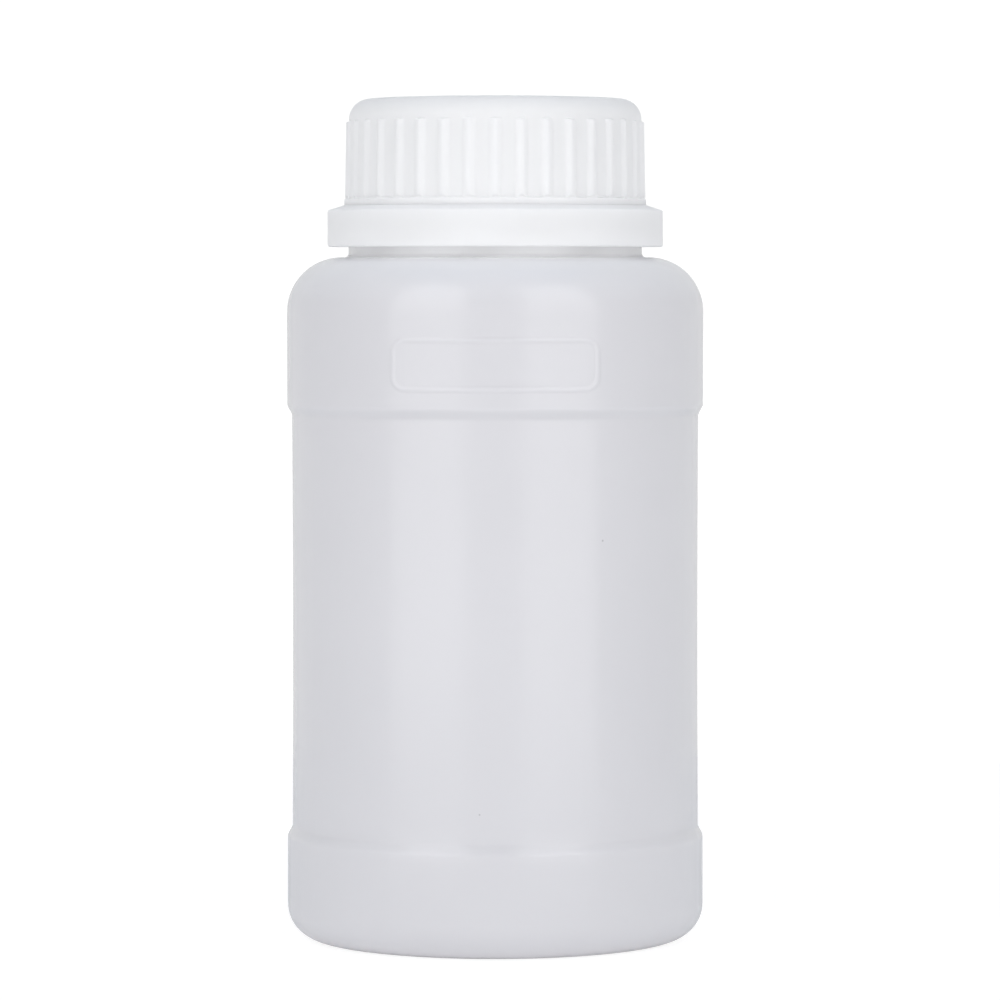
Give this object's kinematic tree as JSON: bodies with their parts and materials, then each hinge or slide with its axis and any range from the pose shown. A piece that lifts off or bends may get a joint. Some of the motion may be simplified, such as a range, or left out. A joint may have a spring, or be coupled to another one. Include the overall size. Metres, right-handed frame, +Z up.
{
  "type": "reagent bottle",
  "caption": "Translucent plastic reagent bottle, round with a recessed label panel, closed by a ribbed screw cap over a tamper-evident band.",
  "frame": {"origin": "centre of the base, on the plane that the bottle stands on", "axes": "+Z up along the bottle's axis towards the cap, -Y towards the front with the raised frame"},
  "size_m": [0.061, 0.0612, 0.1231],
  "materials": {
    "bottle_plastic": "translucent satin, natural polyethylene",
    "cap_plastic": "white satin, moulded",
    "liner_foam": "closed-cell foam, matt"
  },
  "bodies": {
    "bottle": {"bottle": "bottle_plastic"},
    "liner": {"cap_liner": "liner_foam"},
    "cap": {"screw_cap": "cap_plastic"},
    "band": {"tamper_band": "cap_plastic", "break_bridges": "cap_plastic"}
  },
  "joints": [
    {"name": "cap_lift", "type": "slide", "parent": "bottle", "child": "liner", "axis": [0, 0, 1], "range_m": [0, 0.0148]},
    {"name": "cap_turn", "type": "hinge", "parent": "liner", "child": "cap", "pos_m": [0, 0, 0.1203], "axis": [0, 0, 1], "range_deg": [0, 1260]},
    {"name": "band_spin", "type": "hinge", "parent": "bottle", "child": "band", "pos_m": [0, 0, 0.1042], "axis": [0, 0, 1], "continuous": true}
  ],
  "couplings": [
    {"joint": "cap_lift", "follows": "cap_turn", "m_per_rad": 0.00066845}
  ]
}
